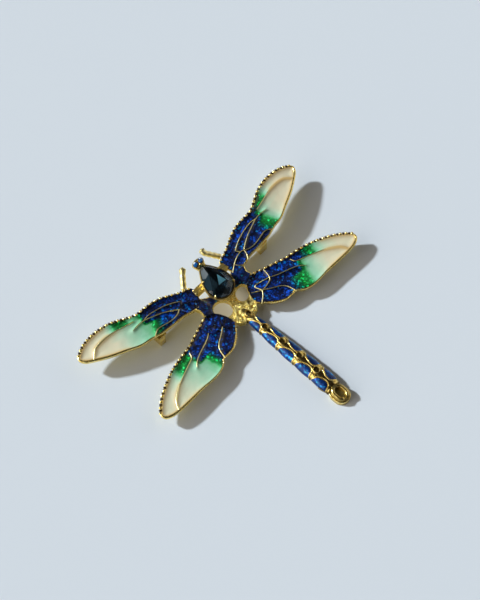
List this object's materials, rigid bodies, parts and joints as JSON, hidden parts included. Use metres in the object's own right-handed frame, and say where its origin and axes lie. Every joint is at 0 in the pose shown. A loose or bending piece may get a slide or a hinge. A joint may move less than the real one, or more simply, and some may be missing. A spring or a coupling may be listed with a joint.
{
  "type": "dragonfly brooch",
  "caption": "Dragonfly-shaped brooch: gold-coloured cast body with blue, green and cream enamelled wings, an enamelled tail and a pear-cut stone, lying on its bar pin.",
  "frame": {"origin": "centre of the bounding box's bottom, on the surface that the brooch lies on", "axes": "+Z points out of the brooch's face, +Y to the dragonfly's head, +X to its wings on the right of the face"},
  "size_m": [0.0666, 0.049, 0.0077],
  "materials": {
    "gold": "polished",
    "wing_enamel": "gloss",
    "band_enamel": "gloss",
    "tail_enamel": "gloss",
    "dark_stone": "polished",
    "blue_stone": "polished"
  },
  "bodies": {
    "root": {"casting": "gold", "main_stone": "dark_stone", "eye_left": "blue_stone", "eye_right": "blue_stone", "enamel_fore_left": "wing_enamel", "enamel_fore_right": "wing_enamel", "enamel_hind_left": "wing_enamel", "enamel_hind_right": "wing_enamel", "enamel_band_left": "band_enamel", "enamel_band_right": "band_enamel", "enamel_tail_left": "tail_enamel", "enamel_tail_right": "tail_enamel", "pin": "gold"}
  },
  "joints": []
}
